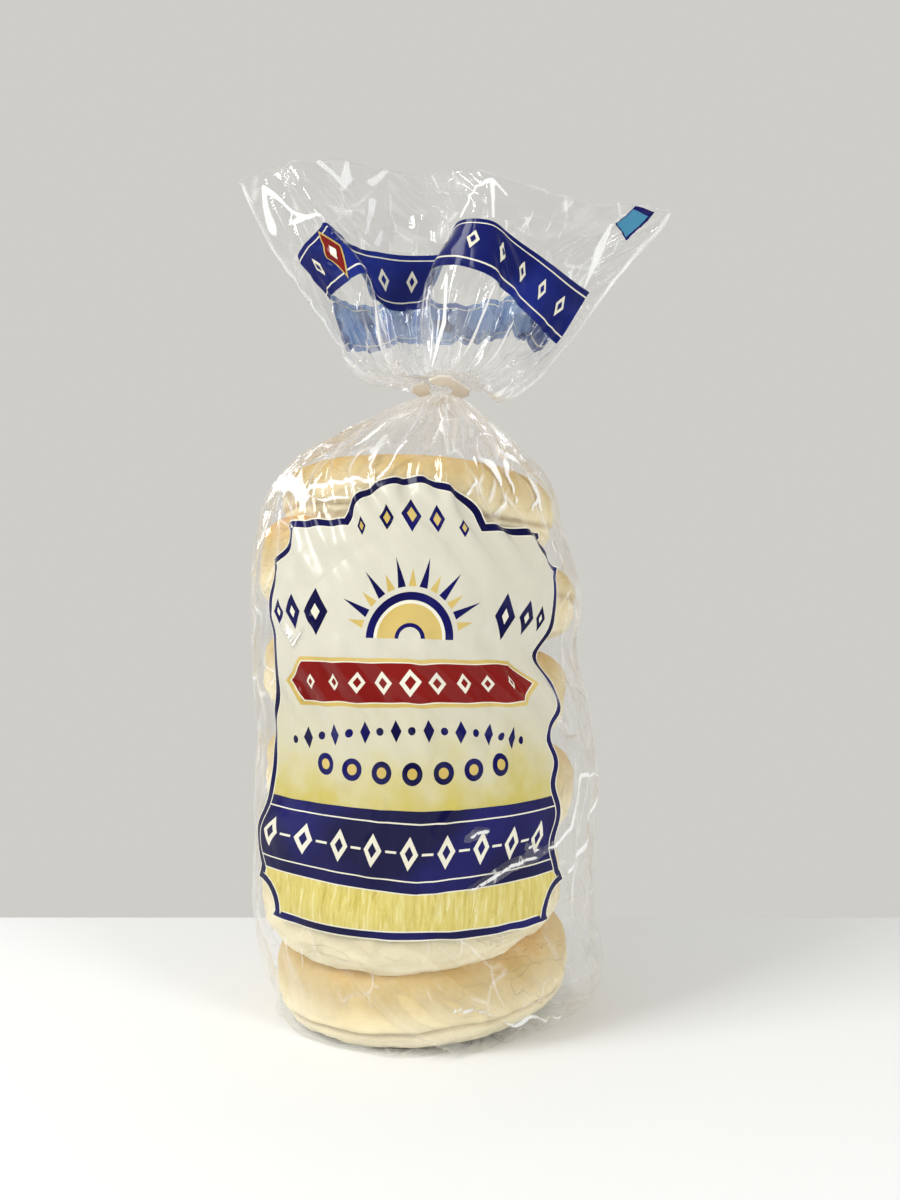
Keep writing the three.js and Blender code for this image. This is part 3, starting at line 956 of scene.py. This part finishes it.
def band_lozenges(film, turn, layers):
    """A lozenge on the ruffle's stripe, as one patch for each layer of ink."""
    middle = (BAND_LOW + BAND_HIGH) / 2
    patches = []
    for size, lift, ink in layers:
        tall = LOZENGE_RISE * size
        corners = [(turn, middle - tall), (turn + size, middle), (turn, middle + tall),
                   (turn - size, middle)]
        patches.append(laid_quad(film, corners, lift * PRINT_LIFT, 8, lambda x, y, ink=ink: ink))
    return patches


def patch_ink(x, y):
    """The light blue patch has dark ends and a dark line down each side."""
    return "sky" if 0.06 < x < 0.86 and 0.05 < y < 0.85 else "navy"


def make_ruffle_print(film, inks):
    """The front's dark band with a lighter inner side and a row of lozenges, the see-through band
    behind, and the light blue patch by the mouth."""
    parts = [ruffle_band(film, FRONT_RUN, "deep", PRINT_LIFT),
             ruffle_band(film, FRONT_RUN, "blue", -PRINT_LIFT),
             ruffle_band(film, BACK_RUN, "blue", PRINT_LIFT, BACK_ZIGZAG),
             laid_quad(film, PATCH_CORNERS, PRINT_LIFT, 24, patch_ink)]
    parts += band_lozenges(film, RED_LOZENGE, RED_LOZENGE_LAYERS)
    for turn in BAND_LOZENGES[np.abs(BAND_LOZENGES - RED_LOZENGE) > RED_LOZENGE_ROOM]:
        parts += band_lozenges(film, turn, LOZENGE_LAYERS)
    points, faces, face_inks = [], [], []
    for some, quads, made in parts:
        faces.append(quads + sum(len(earlier) for earlier in points))
        points.append(some)
        face_inks += made
    points, faces = np.concatenate(points), np.concatenate(faces)
    print_piece("ruffle_print", points, faces, points[:, [0, 2]], inks, face_inks)


# ---------------------------------------------------------------- bagel meshes
BAGEL_ROWS, BAGEL_COLUMNS = 140, 300
BAGEL_HOLE = 7.5
BAGEL_LOWEST = 0.45
SLICE_DEPTH, SLICE_WIDTH = 1.3, 0.7
DROOP_TURN = math.radians(-120)  # the side where a drooping underside hangs lowest
WAIST_POWER, FLAT_POWER = 0.85, 0.62  # below 1 they square off the ring's round section


def squared_off(wave, power):
    """A wave from -1 to 1 with its sign kept and its size raised to a power."""
    return np.sign(wave) * np.abs(wave) ** power


def bagel_mesh(bagel, number, material):
    """A bagel as a squashed ring with a sliced waist, lumps and wrinkles."""
    rng = np.random.default_rng(100 + number)
    rows, columns = BAGEL_ROWS, BAGEL_COLUMNS
    turn = (TAU * np.arange(columns) / columns)[None, :]
    roll = (TAU * np.arange(rows) / rows)[:, None]

    def noise(cells_v, cells_u):
        wide = lattice_noise(rows, columns, cells_v, cells_u, rng)
        blend = smoothstep(0, 0.12, np.linspace(0, 1, rows))[:, None]
        return wide * blend + wide[-1:] * (1 - blend)

    def wrinkled(cells_v, cells_u):
        return 0.3 - np.abs(noise(cells_v, cells_u))

    tube = (bagel.radius - BAGEL_HOLE) / 2
    out = squared_off(np.cos(roll), WAIST_POWER)
    up = squared_off(np.sin(roll), FLAT_POWER)
    lumps = 1 + 0.022 * noise(3, 7) + 0.012 * noise(6, 15)
    reach = BAGEL_HOLE + tube + tube * out * lumps
    if bagel is BAGELS[-1]:
        up = np.where(up > 0, np.abs(np.sin(roll)) ** WAIST_POWER, up)  # nothing presses on it
    height = bagel.half_height * up * (1 + 0.02 * noise(2, 6))
    under = smoothstep(0, -0.9, up) * smoothstep(-0.2, 1, np.cos(turn - DROOP_TURN))
    lip = smoothstep(-0.1, 0.7, up) * smoothstep(0, 0.7, out) * smoothstep(-0.1, 1, -np.cos(turn))
    height = height - bagel.droop * under + bagel.rise * lip
    waist = height - bagel.slice_level * bagel.half_height
    waist = waist - 1.3 * noise(1, 5)[:1] - 0.5 * noise(1, 23)[:1]
    cut = bell(waist, 0, SLICE_WIDTH) * smoothstep(-0.2, 0.3, out)
    step = 0.8 * smoothstep(-1, 1, waist) * noise(1, 4)[:1] * smoothstep(0, 0.6, out)
    wrinkles = 0.9 * wrinkled(16, 26) + 0.55 * wrinkled(34, 60) + 0.3 * wrinkled(64, 120)
    wrinkles = wrinkles * (0.9 + 1.2 * bagel.flour)
    skin = wrinkles * smoothstep(-0.6, 0.2, out) * (1 - 0.6 * smoothstep(0.2, 0.8, up))
    skin = skin - SLICE_DEPTH * cut + step
    reach = reach + skin * out
    height = height + skin * up * 0.5
    flat_x = reach * np.cos(turn)
    flat_y = reach * np.sin(turn)
    points = (bagel.centre + flat_x[..., None] * bagel.side
              + flat_y[..., None] * bagel.depth + height[..., None] * bagel.axis)
    points[..., 2] = np.maximum(points[..., 2], BAGEL_LOWEST)
    quads = grid_faces(rows + 1, columns) % (rows * columns)
    piece = new_piece(f"bagel_{number}", points.reshape(-1, 3), quads, [material])
    put_value(piece, "level", height / bagel.half_height)
    put_value(piece, "cut", cut)
    put_value(piece, "flour", np.full(rows * columns, bagel.flour))


# ---------------------------------------------------------------- ways to add shader nodes
def node_maker(tree):
    """A short way to add a node to an emptied tree. An input is a number, a colour, an output
    of another node, or the other node itself, which stands for its first output."""
    tree.nodes.clear()

    def node(kind, inputs=(), **settings):
        made = tree.nodes.new("ShaderNode" + kind)
        for key, value in settings.items():
            setattr(made, key, value)
        for key, value in dict(inputs).items():
            if isinstance(value, bpy.types.Node):
                value = value.outputs[0]
            if isinstance(value, bpy.types.NodeSocket):
                tree.links.new(value, made.inputs[key])
            else:
                made.inputs[key].default_value = value
        return made

    return node


def shader(name):
    """A new material: a short way to add its nodes, and one to end it with its surface."""
    material = bpy.data.materials.new(name)
    material.use_nodes = True
    node = node_maker(material.node_tree)

    def finish(surface):
        node("OutputMaterial", {"Surface": surface})
        return material

    return node, finish


def ramp(node, value, *stops):
    """A colour ramp from (place, colour) pairs."""
    made = node("ValToRGB", {"Fac": value})
    elements = made.color_ramp.elements
    while len(elements) < len(stops):
        elements.new(0.5)
    for element, (place, colour) in zip(elements, stops):
        element.position = place
        element.color = (*colour, 1)
    return made


def mixed(node, share, first, colour):
    """A colour mixed into the first one by a share."""
    made = node("Mix", {0: share, 6: first, 7: (*colour, 1)}, data_type="RGBA")
    return made.outputs[2]


def maths(node, operation, *values, **settings):
    """One step of arithmetic."""
    return node("Math", dict(enumerate(values)), operation=operation, **settings)


def times_plus(node, value, factor, added):
    return maths(node, "MULTIPLY_ADD", value, factor, added)


def remap(node, value, low, high, out_low=0.0, out_high=1.0):
    """A value between two limits, moved to lie between two others."""
    return node("MapRange", {"Value": value, "From Min": low, "From Max": high,
                             "To Min": out_low, "To Max": out_high})


def stretched(node, place, scale):
    """A place scaled by another amount each way."""
    return node("Mapping", {"Vector": place, "Scale": scale})


def clouds(node, place, scale, detail, **inputs):
    """Cloudy noise from 0 to 1."""
    return node("TexNoise", {"Vector": place, "Scale": scale, "Detail": detail, **inputs})


def cells(node, place, scale, feature="F1"):
    """Cells of uneven shape; each has a colour drawn by lot."""
    return node("TexVoronoi", {"Vector": place, "Scale": scale}, feature=feature)


def bent(node, place, scale, detail, amount):
    """A place moved about by noise, so that a pattern there doesn't run straight."""
    drift = clouds(node, place, scale, detail).outputs["Color"]
    return node("VectorMath", {0: drift, 1: amount, 2: place}, operation="MULTIPLY_ADD")


def object_place(node):
    return node("TexCoord").outputs["Object"]


def piece_value(node, name):
    """A value that the mesh holds for each of its points."""
    return node("Attribute", attribute_name=name).outputs["Fac"]


# ---------------------------------------------------------------- materials
# Scales and widths are for places on flat film, in tenths of a metre
FACET_SCALE = 2.4  # broad facets
CREASE_SCALE = 3.5 * FACET_SCALE  # long narrow creases
FILM_SLOPE, INK_SLOPE, GROUND_SLOPE = 0.17, 0.06, 0.05  # how steep the facets stand
MOST_MILK_AND_GLINTS = 0.8


def creases(node, flat):
    """Broad facets of the film and its long narrow creases, as distances to their edges."""
    place = bent(node, flat, 2.6, 2.0, (0.16, 0.16, 0))
    long_way = stretched(node, place, (1, 0.3, 1))
    return (cells(node, place, FACET_SCALE, "DISTANCE_TO_EDGE"),
            cells(node, long_way, CREASE_SCALE, "DISTANCE_TO_EDGE"))


def crease_bump(node, broad, narrow, slope, strength=1.0):
    """Flat facets of thin stiff film that meet at sharp creases."""
    height = times_plus(node, narrow, 0.3, broad)
    in_metres = slope / FACET_SCALE / 10
    return node("Bump", {"Height": height, "Strength": strength, "Distance": in_metres})


def film_material():
    """Clear thin film: sees through, mirrors more at a slant and is milky where it is gathered. Its
    white at some sharp creases is partly whitened film and partly painted highlight; its white
    lines along the cut rim, the side folds and the listed folds are painted highlights."""
    node, finish = shader("clear_film")
    flat = node("UVMap", uv_map="film")
    broad, narrow = creases(node, flat)
    height = node("SeparateXYZ", {0: object_place(node)}).outputs["Z"]
    standing = remap(node, height, 0.008, 0.035, 0.25, 1.0)  # film is smoother by the table
    cloud = clouds(node, flat, 7.0, 3.0)
    pleats = clouds(node, stretched(node, flat, (1, 0.2, 1)), 26.0, 3.0)
    milk_and_glints = remap(node, cloud, 0.4, 0.75, 0.01, 0.035)
    milk_and_glints = times_plus(node, pleats, piece_value(node, "gather"), milk_and_glints)
    # Some crease lines turn white: partly whitened film, partly a painted highlight
    crease_glint_share = maths(node, "MULTIPLY", remap(node, cloud, 0.5, 0.62, 0.0, 0.5), standing)
    for distance, width in ((broad, 0.012), (narrow, 0.03)):
        line = remap(node, distance, 0.0, width, 1.0, 0.0)
        milk_and_glints = times_plus(node, line, crease_glint_share, milk_and_glints)
    # Painted highlights: dashed white lines along the cut rim and the side folds
    edge_glint_dashes = remap(node, pleats, 0.42, 0.6, 0.12, 0.6)
    milk_and_glints = times_plus(node, piece_value(node, "edge"), edge_glint_dashes, milk_and_glints)
    # Painted highlights: uneven white streaks along the listed folds
    ragged_fold_glints = times_plus(node, pleats, 0.5, piece_value(node, "fold"))
    milk_and_glints = maths(node, "ADD", milk_and_glints, remap(node, ragged_fold_glints, 0.68, 0.84, 0.0, 0.75))
    normal = crease_bump(node, broad, narrow, FILM_SLOPE, standing)
    slant = node("LayerWeight", {"Blend": 0.5, "Normal": normal}).outputs["Facing"]
    milk_and_glints = times_plus(node, maths(node, "POWER", slant, 6.0), 0.28, milk_and_glints)
    milk_and_glints = maths(node, "MINIMUM", milk_and_glints, MOST_MILK_AND_GLINTS)
    mirror = times_plus(node, maths(node, "POWER", slant, 3.0), 0.42, 0.065)
    clear = node("BsdfTransparent", {"Color": (0.985, 0.985, 0.985, 1)})
    gloss = node("BsdfGlossy", {"Color": (1, 1, 1, 1), "Roughness": 0.035, "Normal": normal})
    # White film: real milkiness, and painted highlights along edges, folds and creases
    white = node("BsdfDiffuse", {"Color": (0.95, 0.95, 0.94, 1)})
    veiled = node("MixShader", {0: milk_and_glints, 1: clear, 2: white})
    return finish(node("MixShader", {0: mirror, 1: veiled, 2: gloss}))


def glossy_print(node, tone, roughness, slope, specular=0.5):
    """Printed film: its ink's tone, and the creases of the film under it."""
    normal = crease_bump(node, *creases(node, node("UVMap", uv_map="print")), slope)
    return node("BsdfPrincipled", {"Base Color": tone, "Roughness": roughness, "Normal": normal,
                                   "Specular IOR Level": specular})


def ink_material(name, colour, worn):
    """Glossy printed film of one ink, a little uneven in tone."""
    node, finish = shader(name)
    place = bent(node, object_place(node), 34.0, 3.0, (0.02, 0.02, 0.02))
    facets = cells(node, place, 55.0, "SMOOTH_F1").outputs["Color"]
    drawn = node("SeparateColor", {0: facets})
    tone = ramp(node, drawn, (0.2, colour), (0.8, worn))
    return finish(glossy_print(node, tone, 0.14, INK_SLOPE, specular=0.22))


def cream_material():
    """The label's cream ground, turning soft yellow just above the dark band, and a little darker
    through its middle than at its top, which is painted shade.
    """
    node, finish = shader("cream_ink")
    flat = node("UVMap", uv_map="print")
    height = node("SeparateXYZ", {0: flat}).outputs["Y"]
    wobble = times_plus(node, clouds(node, flat, 7.0, 3.0), 0.35, height)
    # The stops at 0.71 and 0.86 are darker than the top one: painted shade through the label's
    # middle
    tone = ramp(node, wobble, (0.53, (0.52, 0.44, 0.10)), (0.61, (0.57, 0.51, 0.25)),
                (0.71, (0.58, 0.55, 0.39)), (0.86, (0.59, 0.565, 0.455)), (1.0, (0.62, 0.60, 0.50)))
    return finish(glossy_print(node, tone, 0.22, GROUND_SLOPE))


def wheat_material():
    """A field of ripe straw: yellow with leaning pale and dark streaks."""
    node, finish = shader("straw_ink")
    flat = node("UVMap", uv_map="print")
    leaning = node("Mapping", {"Vector": flat, "Rotation": (0, 0, 0.22), "Scale": (1, 0.14, 1)})
    stalks = clouds(node, leaning, 75.0, 4.0, Roughness=0.65, Distortion=0.6)
    tone = ramp(node, stalks, (0.3, (0.48, 0.37, 0.07)), (0.46, (0.60, 0.50, 0.13)),
                (0.58, (0.65, 0.56, 0.18)), (0.7, (0.76, 0.72, 0.40)))
    return finish(glossy_print(node, tone, 0.22, GROUND_SLOPE))


def back_ink_material():
    """Blue print on clear film with the light behind it: broken patches of many tones, painted
    light and shade standing in for its folds.
    """
    node, finish = shader("blue_ink")
    place = bent(node, object_place(node), 45.0, 2.0, (0.012, 0.012, 0.016))
    upright = stretched(node, place, (1, 1, 0.55))
    # Cells of random tone and cover: painted light and shade on the folds, over the blue print
    painted_fold_cells = cells(node, upright, 170.0).outputs["Color"]
    drawn = node("SeparateColor", {0: painted_fold_cells})
    tone = ramp(node, drawn, (0.0, (0.004, 0.010, 0.11)), (0.45, (0.014, 0.055, 0.27)),
                (0.8, (0.07, 0.21, 0.52)), (1.0, (0.32, 0.46, 0.68)))
    cover = remap(node, drawn.outputs[1], 0.0, 1.0, 0.35, 1.0)
    clear = node("BsdfTransparent", {"Color": (0.32, 0.50, 0.86, 1)})
    ink = glossy_print(node, tone, 0.16, FILM_SLOPE)
    return finish(node("MixShader", {0: cover, 1: clear, 2: ink}))


def crust_material():
    """Bagel crust: golden on top, pale and floury at the waist, with cracks and wrinkles. Painted
    shade darkens the cracks, wrinkles and slice, and the palest tone, underneath, is partly painted
    light.
    """
    node, finish = shader("bagel_crust")
    place = object_place(node)
    flour = piece_value(node, "flour")
    broad = clouds(node, place, 24.0, 5.0, Roughness=0.6)
    lifted = times_plus(node, piece_value(node, "level"), 0.36, 0.24)
    # The palest tone, at the underside, is partly painted light: paler to offset the shade there
    colour = ramp(node, times_plus(node, broad, 0.5, lifted),
                  (0.22, (0.95, 0.87, 0.64)), (0.34, (0.88, 0.78, 0.52)),
                  (0.46, (0.81, 0.68, 0.40)), (0.57, (0.65, 0.50, 0.24)),
                  (0.70, (0.58, 0.41, 0.14)), (0.82, (0.62, 0.37, 0.07)),
                  (0.95, (0.60, 0.29, 0.03)))
    dust = times_plus(node, clouds(node, place, 60.0, 6.0, Roughness=0.7), 0.9, -0.35)
    dust = maths(node, "ADD", dust, flour, use_clamp=True)
    colour = mixed(node, dust, colour, (0.80, 0.73, 0.49))
    lines = clouds(node, stretched(node, place, (1, 1, 2.8)), 36.0, 4.0, Distortion=1.0)
    off_line = maths(node, "ABSOLUTE", maths(node, "SUBTRACT", lines, 0.5))
    groove = maths(node, "MULTIPLY", remap(node, off_line, 0.0, 0.014, 1.0, 0.0),
                  remap(node, broad, 0.48, 0.62))
    # Painted shade: the grooves of cracks and wrinkles darkened, more on floury bagels
    shade = maths(node, "MULTIPLY", groove, times_plus(node, flour, 0.35, 0.04))
    colour = mixed(node, shade, colour, (0.40, 0.29, 0.14))
    # Painted shade: the slice darkened as if in the shadow of its slit
    painted_slit_shade = maths(node, "MULTIPLY", piece_value(node, "cut"), 0.55)
    colour = mixed(node, painted_slit_shade, colour, (0.36, 0.24, 0.12))
    fine = clouds(node, place, 260.0, 5.0, Roughness=0.6)
    bump = node("Bump", {"Height": times_plus(node, groove, -0.6, fine), "Strength": 0.6,
                         "Distance": 0.0009})
    return finish(node("BsdfPrincipled", {"Base Color": colour, "Roughness": 0.62,
                                          "Normal": bump}))


def clip_material():
    """Frosted beige moulded plastic."""
    node, finish = shader("frosted_plastic")
    grain = clouds(node, object_place(node), 900.0, 2.0)
    tone = ramp(node, grain, (0.3, (0.84, 0.79, 0.70)), (0.7, (0.91, 0.86, 0.78)))
    bump = node("Bump", {"Height": grain, "Strength": 0.2, "Distance": 0.0003})
    return finish(node("BsdfPrincipled", {"Base Color": tone, "Roughness": 0.42, "Normal": bump}))


# ---------------------------------------------------------------- stage
WALL_COLOUR = (0.62, 0.61, 0.575, 1)
ROOM_COLOUR = (1, 0.985, 0.95, 1)
BRIGHT_WAY = (-0.2, 0.75, 0.6)  # the room is brightest behind the bag and above it
FLOOR_COLOUR = (0.82, 0.83, 0.83, 1)
FLOOR_NEAR, FLOOR_FAR, FLOOR_HALF_WIDTH, FLOOR_Z = -900, 91, 1600, -0.1
LIT_PLACE = (0, 0, 120)
# Place of the light, its width and height, and its power in watts
WINDOW = ((-620, -380, 640), (350, 600), 6.1)
FILL = ((620, -640, 420), (250, 600), 3.8)


def make_world():
    """The camera sees a plain wall; the object is lit by a room that is darker in front, and
    mirrors it."""
    world = bpy.data.worlds.new("studio")
    bpy.context.scene.world = world
    world.use_nodes = True
    node = node_maker(world.node_tree)
    way = node("TexCoord").outputs["Generated"]
    glow = node("VectorMath", {0: way, 1: BRIGHT_WAY}, operation="DOT_PRODUCT").outputs["Value"]
    bright = remap(node, glow, -0.8, 0.6, 0.3, 0.68)
    room = node("Background", {"Color": ROOM_COLOUR, "Strength": bright})
    wall = node("Background", {"Color": WALL_COLOUR})
    seen = node("LightPath").outputs["Is Camera Ray"]
    node("OutputWorld", {"Surface": node("MixShader", {0: seen, 1: room, 2: wall})})


def make_floor():
    node, finish = shader("pale_floor")
    corners = [[-FLOOR_HALF_WIDTH, FLOOR_NEAR, FLOOR_Z], [FLOOR_HALF_WIDTH, FLOOR_NEAR, FLOOR_Z],
               [FLOOR_HALF_WIDTH, FLOOR_FAR, FLOOR_Z], [-FLOOR_HALF_WIDTH, FLOOR_FAR, FLOOR_Z]]
    mesh = bpy.data.meshes.new("floor")
    mesh.from_pydata(metres(corners).tolist(), [], [[0, 1, 2, 3]])
    mesh.materials.append(finish(node("BsdfDiffuse", {"Color": FLOOR_COLOUR})))
    floor = bpy.data.objects.new("floor", mesh)
    bpy.context.scene.collection.objects.link(floor)
    floor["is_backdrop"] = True


def area_light(name, place, size, power):
    data = bpy.data.lights.new(name, "AREA")
    data.shape = "RECTANGLE"
    data.size, data.size_y = size[0] * MM, size[1] * MM
    data.energy = power
    light = bpy.data.objects.new(name, data)
    light.location = metres(place)
    way = Vector(metres(LIT_PLACE)) - light.location
    light.rotation_euler = way.to_track_quat("-Z", "Y").to_euler()
    bpy.context.scene.collection.objects.link(light)
    return light


# ---------------------------------------------------------------- main
make_camera()
make_world()
make_floor()
area_light("window", *WINDOW)
fill = area_light("fill", *FILL)
fill.visible_glossy = False  # only the window shows in glossy film

crust = crust_material()
for number, bagel in enumerate(BAGELS, 1):
    bagel_mesh(bagel, number, crust)

clear = film_material()
film = body_film()
folded = raised(film, PROUD_FOLDS, PROUD_RISE, PROUD_WIDTH)
# The proud folds are raised and also carry painted highlight streaks
body_piece = film_piece("film_body", folded, clear, body_edge_glints(), BODY_GLINTS + PROUD_FOLDS)
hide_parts("filled_bag")
ruffle = ruffle_film()
ruffle_piece = film_piece("film_ruffle", ruffle, clear, ruffle_edge_glints(), RUFFLE_GLINTS)
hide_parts("gathered_ruffle")

inks = {
    "cream": cream_material(),
    "navy": ink_material("navy_ink", (0.002, 0.0015, 0.040), (0.007, 0.006, 0.105)),
    "deep": ink_material("deep_blue_ink", (0.004, 0.008, 0.10), (0.010, 0.022, 0.20)),
    "gold": ink_material("gold_ink", (0.52, 0.38, 0.10), (0.62, 0.47, 0.16)),
    "red": ink_material("red_ink", (0.17, 0.005, 0.004), (0.21, 0.008, 0.006)),
    "wheat": wheat_material(),
    "pale": ink_material("pale_ink", (0.72, 0.69, 0.56), (0.78, 0.76, 0.64)),
    "blue": back_ink_material(),
    "sky": ink_material("sky_blue_ink", (0.045, 0.20, 0.34), (0.065, 0.25, 0.40)),
}
make_label(film, inks)
make_ruffle_print(ruffle, inks)

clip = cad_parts["closure_clip"]
clip.data.materials.clear()
clip.data.materials.append(clip_material())

scene = bpy.context.scene
scene.view_settings.view_transform = "Standard"
scene.cycles.transparent_max_bounces = 32

({name: [[float(v) for v in corner] for corner in box_corners]
           for name, box_corners in (("cad", cad_box), ("visual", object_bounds()))})
